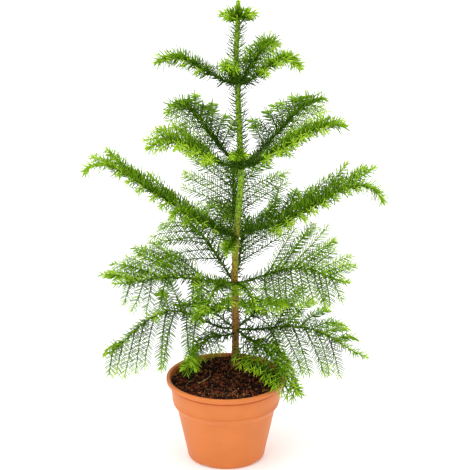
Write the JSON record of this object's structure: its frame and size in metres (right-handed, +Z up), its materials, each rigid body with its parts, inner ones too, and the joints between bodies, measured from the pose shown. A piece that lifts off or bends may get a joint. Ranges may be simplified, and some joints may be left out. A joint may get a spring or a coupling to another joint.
{
  "type": "potted norfolk island pine",
  "caption": "Young Norfolk Island pine with a slender trunk, tiers of arching boughs and feathery sprays of needles, growing in a tapered clay-coloured pot of soil.",
  "frame": {"origin": "centre of the pot's flat underside, where the plant stands", "axes": "+Z up along the trunk; the pictured front of the plant faces -Y and its right side is +X"},
  "size_m": [0.3657, 0.2622, 0.5853],
  "materials": {
    "pot": "satin",
    "soil": "matte",
    "bark": "matte",
    "limb": "matte",
    "foliage": "matte"
  },
  "bodies": {
    "root": {"bough_tier1_a": "limb", "bough_tier1_b": "limb", "bough_tier1_c": "limb", "bough_tier1_d": "limb", "bough_tier1_e": "limb", "bough_tier1_f": "limb", "bough_tier1_g": "limb", "bough_tier2_a": "limb", "bough_tier2_b": "limb", "bough_tier2_c": "limb", "bough_tier2_d": "limb", "bough_tier2_e": "limb", "bough_tier2_f": "limb", "bough_tier3_a": "limb", "bough_tier3_b": "limb", "bough_tier3_c": "limb", "bough_tier3_d": "limb", "bough_tier3_e": "limb", "bough_tier3_f": "limb", "bough_tier4_a": "limb", "bough_tier4_b": "limb", "bough_tier4_c": "limb", "bough_tier4_d": "limb", "bough_tier4_e": "limb", "bough_tier5_a": "limb", "bough_tier5_b": "limb", "bough_tier5_c": "limb", "bough_tier5_d": "limb", "foliage_tier1_a": "foliage", "foliage_tier1_b": "foliage", "foliage_tier1_c": "foliage", "foliage_tier1_d": "foliage", "foliage_tier1_e": "foliage", "foliage_tier1_f": "foliage", "foliage_tier1_g": "foliage", "foliage_tier2_a": "foliage", "foliage_tier2_b": "foliage", "foliage_tier2_c": "foliage", "foliage_tier2_d": "foliage", "foliage_tier2_e": "foliage", "foliage_tier2_f": "foliage", "foliage_tier3_a": "foliage", "foliage_tier3_b": "foliage", "foliage_tier3_c": "foliage", "foliage_tier3_d": "foliage", "foliage_tier3_e": "foliage", "foliage_tier3_f": "foliage", "foliage_tier4_a": "foliage", "foliage_tier4_b": "foliage", "foliage_tier4_c": "foliage", "foliage_tier4_d": "foliage", "foliage_tier4_e": "foliage", "foliage_tier5_a": "foliage", "foliage_tier5_b": "foliage", "foliage_tier5_c": "foliage", "foliage_tier5_d": "foliage", "pot": "pot", "soil": "soil", "trunk": "bark", "tuft_leader": "foliage"}
  },
  "joints": []
}
